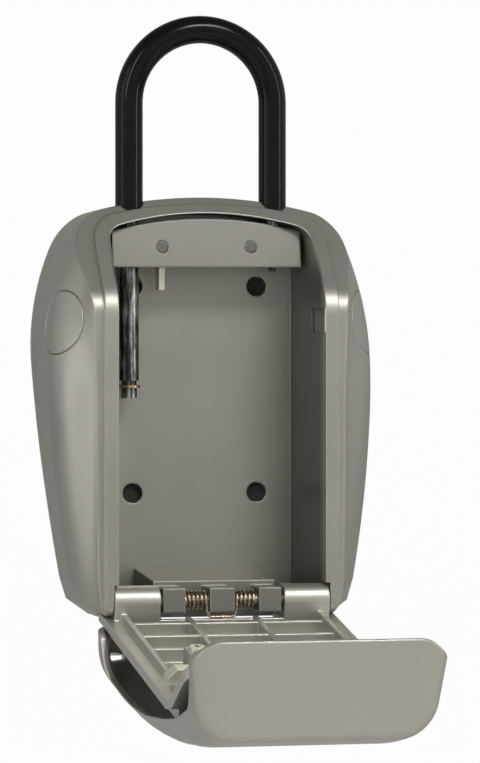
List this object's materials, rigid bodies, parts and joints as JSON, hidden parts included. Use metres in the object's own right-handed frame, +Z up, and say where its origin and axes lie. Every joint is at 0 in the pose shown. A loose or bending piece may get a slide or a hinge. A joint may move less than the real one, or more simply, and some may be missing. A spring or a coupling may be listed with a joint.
{
  "type": "combination key safe with shackle",
  "caption": "Upright key box with rounded flanks, a hinged ribbed door carrying number dials, a folding weather cover and a sleeved shackle locked in its head.",
  "frame": {"origin": "centre of the four wall holes, on the flat outside of the back wall", "axes": "+X to the right seen from the front, +Y towards the wall, +Z up towards the shackle"},
  "size_m": [0.1036, 0.1607, 0.2148],
  "materials": {
    "cast_zinc": "satin cast paint",
    "inner_zinc": "satin cast paint, darker",
    "dark_steel": "oiled",
    "spring_steel": "bright",
    "plated_steel": "bright plating",
    "black_plastic": "gloss",
    "matte_black": "matte",
    "brass_clip": "bright"
  },
  "bodies": {
    "case": {"back_case": "cast_zinc", "lock_housing": "inner_zinc", "lock_bar": "inner_zinc", "lock_bar_rivets": "dark_steel", "hinge_block": "inner_zinc", "hinge_block_screws": "dark_steel", "hinge_pin": "plated_steel", "side_plug_left": "cast_zinc", "side_plug_right": "cast_zinc", "door_spring": "spring_steel", "strike_pins": "plated_steel"},
    "shackle": {"shackle_rod": "dark_steel", "shackle_sleeve": "black_plastic", "shackle_clip": "brass_clip"},
    "shackle_lock": {"shackle_bolt": "plated_steel", "shackle_release": "dark_steel"},
    "door": {"door_tray": "cast_zinc", "dial_housing": "matte_black", "dial_axle": "plated_steel", "dial_detent": "spring_steel", "lock_plate": "cast_zinc", "lock_plate_screws": "plated_steel", "cover_pin": "plated_steel", "latch_spring_left": "spring_steel", "latch_spring_right": "spring_steel"},
    "latch_left": {"latch_bolt_left": "plated_steel"},
    "latch_right": {"latch_bolt_right": "plated_steel"},
    "opener": {"opening_slide": "matte_black"},
    "reset": {"reset_lever": "plated_steel"},
    "cover": {"weather_cover": "cast_zinc"},
    "dial_set_1": {"dial_1": "matte_black", "dial_cam_1": "plated_steel"},
    "dial_set_2": {"dial_2": "matte_black", "dial_cam_2": "plated_steel"},
    "dial_set_3": {"dial_3": "matte_black", "dial_cam_3": "plated_steel"},
    "dial_set_4": {"dial_4": "matte_black", "dial_cam_4": "plated_steel"}
  },
  "joints": [
    {"name": "door_hinge", "type": "hinge", "parent": "case", "child": "door", "pos_m": [0, -0.037, -0.063], "axis": [-1, 0, 0], "range_deg": [0, 101.3]},
    {"name": "cover_hinge", "type": "hinge", "parent": "door", "child": "cover", "pos_m": [0, -0.02788, -0.078], "axis": [1, 0, 0], "range_deg": [0, 95]},
    {"name": "shackle_slide", "type": "slide", "parent": "case", "child": "shackle", "axis": [0, 0, 1], "range_m": [0, 0.036]},
    {"name": "shackle_lock_slide", "type": "slide", "parent": "case", "child": "shackle_lock", "axis": [1, 0, 0], "range_m": [0, 0.002]},
    {"name": "opening_slide", "type": "slide", "parent": "door", "child": "opener", "axis": [0, 0.9806, 0.1959], "range_m": [0, 0.0045]},
    {"name": "latch_slide_left", "type": "slide", "parent": "door", "child": "latch_left", "axis": [1, 0, 0], "range_m": [0, 0.003], "deforming": ["latch_spring_left"]},
    {"name": "latch_slide_right", "type": "slide", "parent": "door", "child": "latch_right", "axis": [-1, 0, 0], "range_m": [0, 0.003], "deforming": ["latch_spring_right"]},
    {"name": "reset_turn", "type": "hinge", "parent": "door", "child": "reset", "pos_m": [0.012, -0.12004, -0.07867], "axis": [0, -0.1959, 0.9806], "range_deg": [-75, 0]},
    {"name": "dial_spin_1", "type": "hinge", "parent": "door", "child": "dial_set_1", "pos_m": [-0.015, -0.1008, -0.08564], "axis": [1, 0, 0], "continuous": true},
    {"name": "dial_spin_2", "type": "hinge", "parent": "door", "child": "dial_set_2", "pos_m": [-0.005, -0.1008, -0.08564], "axis": [1, 0, 0], "continuous": true},
    {"name": "dial_spin_3", "type": "hinge", "parent": "door", "child": "dial_set_3", "pos_m": [0.005, -0.1008, -0.08564], "axis": [1, 0, 0], "continuous": true},
    {"name": "dial_spin_4", "type": "hinge", "parent": "door", "child": "dial_set_4", "pos_m": [0.015, -0.1008, -0.08564], "axis": [1, 0, 0], "continuous": true}
  ],
  "couplings": [
    {"joint": "latch_slide_left", "follows": "opening_slide", "ratio": 0.6667},
    {"joint": "latch_slide_right", "follows": "opening_slide", "ratio": 0.6667}
  ]
}
